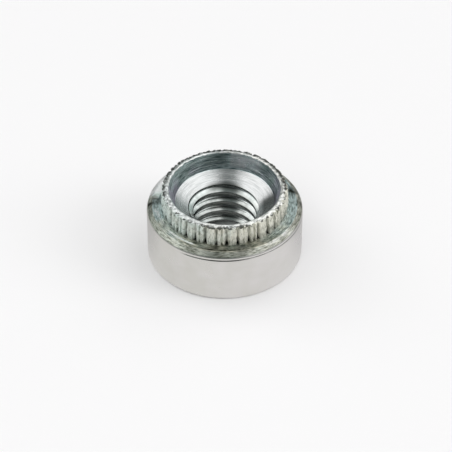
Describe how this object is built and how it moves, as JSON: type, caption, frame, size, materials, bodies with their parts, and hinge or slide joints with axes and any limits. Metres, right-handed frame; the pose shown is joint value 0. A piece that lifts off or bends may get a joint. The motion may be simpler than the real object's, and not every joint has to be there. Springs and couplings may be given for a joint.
{
  "type": "rivet nut",
  "caption": "Round one-piece press-in rivet nut: flanged steel bush with a knurled, counterbored spigot and a threaded bore, plated bright.",
  "frame": {"origin": "centre of the flat base of the flange, on the thread axis", "axes": "+Z along the thread axis, from the flange base up to the knurled spigot's rim"},
  "size_m": [0.0126, 0.0126, 0.0065],
  "materials": {
    "zinc_plated_steel": "bright zinc plating over turned steel, satin wall with fine turning lines"
  },
  "bodies": {
    "root": {"rivet_nut": "zinc_plated_steel"}
  },
  "joints": []
}
